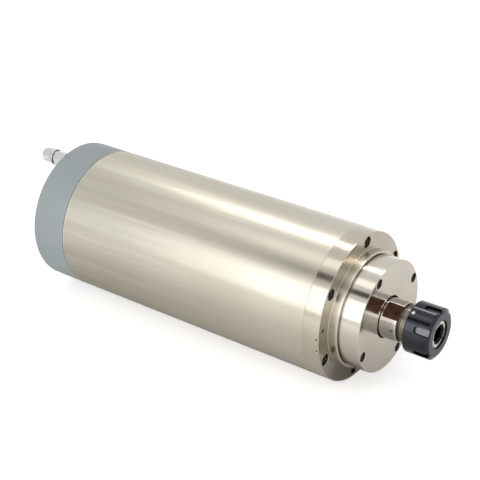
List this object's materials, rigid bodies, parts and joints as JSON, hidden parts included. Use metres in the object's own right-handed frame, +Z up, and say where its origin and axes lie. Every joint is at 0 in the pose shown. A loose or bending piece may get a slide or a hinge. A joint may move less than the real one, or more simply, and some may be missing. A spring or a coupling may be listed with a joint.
{
  "type": "motor spindle",
  "caption": "Water-cooled milling motor spindle: round steel body, flanged nose with pilot, collet chuck, and hose fittings and power connector in the rear cap.",
  "frame": {"origin": "centre of the front flange's front face, on the shaft's axis, where the pilot step starts", "axes": "+X along the shaft's axis towards the collet nut; +Z up as the spindle lies in the picture, with the water inlet near the top"},
  "size_m": [0.4022, 0.125, 0.125],
  "materials": {
    "ground_stainless": "fine ground stainless steel, streaks along the axis",
    "turned_steel": "fine turned steel, bright edges",
    "polished_steel": "finely ground, nearly mirror-like steel",
    "shaft_steel": "ground and hardened shaft steel",
    "spring_steel": "ground spring steel",
    "bearing_steel": "ground and honed bearing steel",
    "blued_steel": "blue-black oxide, satin",
    "black_screw": "black oxide, satin",
    "grey_paint": "satin grey paint",
    "nickel_plate": "bright nickel plate",
    "aluminium_raw": "machined aluminium",
    "lamination_steel": "stacked electrical sheet",
    "copper": "enamelled copper",
    "brass": "turned brass",
    "seal_rubber": "black nitrile rubber",
    "cage_resin": "fabric-filled resin",
    "connector_plastic": "black moulded insulator",
    "wire_sleeve": "silicone-sleeved wire"
  },
  "bodies": {
    "housing": {"outer_tube": "ground_stainless", "water_jacket": "aluminium_raw", "jacket_seals": "seal_rubber", "front_housing": "turned_steel", "flange_screws": "black_screw", "front_cover": "polished_steel", "cover_screws": "black_screw", "front_cover_seal": "seal_rubber", "front_bearing_outer_rings": "bearing_steel", "stator_core": "lamination_steel", "stator_windings": "copper", "rear_housing": "aluminium_raw", "rear_housing_screws": "black_screw", "rear_bearing_sleeve": "bearing_steel", "preload_springs": "bearing_steel", "rear_bearing_outer_rings": "bearing_steel", "rear_retainer": "aluminium_raw", "retainer_screws": "black_screw", "rear_cap": "grey_paint", "rear_cap_screws": "black_screw", "port_seals": "seal_rubber", "fitting_bodies": "nickel_plate", "fitting_seals": "seal_rubber", "connector_shell": "nickel_plate", "connector_insulator": "connector_plastic", "connector_pins": "brass", "connector_panel_nut": "nickel_plate", "lead_wires": "wire_sleeve"},
    "shaft": {"shaft": "shaft_steel", "rotor_core": "lamination_steel", "rotor_cage": "copper", "rotor_balance_rings": "brass", "front_bearing_inner_rings": "bearing_steel", "rear_bearing_inner_rings": "bearing_steel", "front_locknut": "shaft_steel", "rear_locknut": "black_screw"},
    "front_ball_sets": {"front_bearing_balls": "bearing_steel", "front_bearing_cages": "cage_resin"},
    "rear_ball_sets": {"rear_bearing_balls": "bearing_steel", "rear_bearing_cages": "cage_resin"},
    "collet": {"collet": "spring_steel"},
    "collet_nut": {"collet_nut": "blued_steel"},
    "inlet_ferrule": {"inlet_ferrule": "brass"},
    "inlet_hose_nut": {"inlet_hose_nut": "nickel_plate"},
    "outlet_ferrule": {"outlet_ferrule": "brass"},
    "outlet_hose_nut": {"outlet_hose_nut": "nickel_plate"}
  },
  "joints": [
    {"name": "shaft_spin", "type": "hinge", "parent": "housing", "child": "shaft", "pos_m": [0, 0, 0], "axis": [1, 0, 0], "continuous": true},
    {"name": "front_cage_spin", "type": "hinge", "parent": "housing", "child": "front_ball_sets", "pos_m": [-0.01, 0, 0], "axis": [1, 0, 0], "continuous": true},
    {"name": "rear_cage_spin", "type": "hinge", "parent": "housing", "child": "rear_ball_sets", "pos_m": [-0.265, 0, 0], "axis": [1, 0, 0], "continuous": true},
    {"name": "collet_draw", "type": "slide", "parent": "shaft", "child": "collet", "axis": [1, 0, 0], "range_m": [0, 0.01125]},
    {"name": "collet_nut_turn", "type": "hinge", "parent": "collet", "child": "collet_nut", "pos_m": [0.0595, 0, 0], "axis": [1, 0, 0], "range_deg": [0, 2700.1]},
    {"name": "inlet_ferrule_slide", "type": "slide", "parent": "housing", "child": "inlet_ferrule", "axis": [-1, 0, 0], "range_m": [0, 0.005]},
    {"name": "inlet_nut_turn", "type": "hinge", "parent": "inlet_ferrule", "child": "inlet_hose_nut", "pos_m": [-0.324, -0.00979, 0.05036], "axis": [-1, 0, 0], "range_deg": [0, 1800.1]},
    {"name": "outlet_ferrule_slide", "type": "slide", "parent": "housing", "child": "outlet_ferrule", "axis": [-1, 0, 0], "range_m": [0, 0.005]},
    {"name": "outlet_nut_turn", "type": "hinge", "parent": "outlet_ferrule", "child": "outlet_hose_nut", "pos_m": [-0.324, 0.00979, -0.05036], "axis": [-1, 0, 0], "range_deg": [0, 1800.1]}
  ],
  "couplings": [
    {"joint": "front_cage_spin", "follows": "shaft_spin", "ratio": 0.4209},
    {"joint": "rear_cage_spin", "follows": "shaft_spin", "ratio": 0.4148},
    {"joint": "collet_nut_turn", "follows": "collet_draw", "rad_per_m": 4188.8},
    {"joint": "inlet_nut_turn", "follows": "inlet_ferrule_slide", "rad_per_m": 6283.2},
    {"joint": "outlet_nut_turn", "follows": "outlet_ferrule_slide", "rad_per_m": 6283.2}
  ]
}
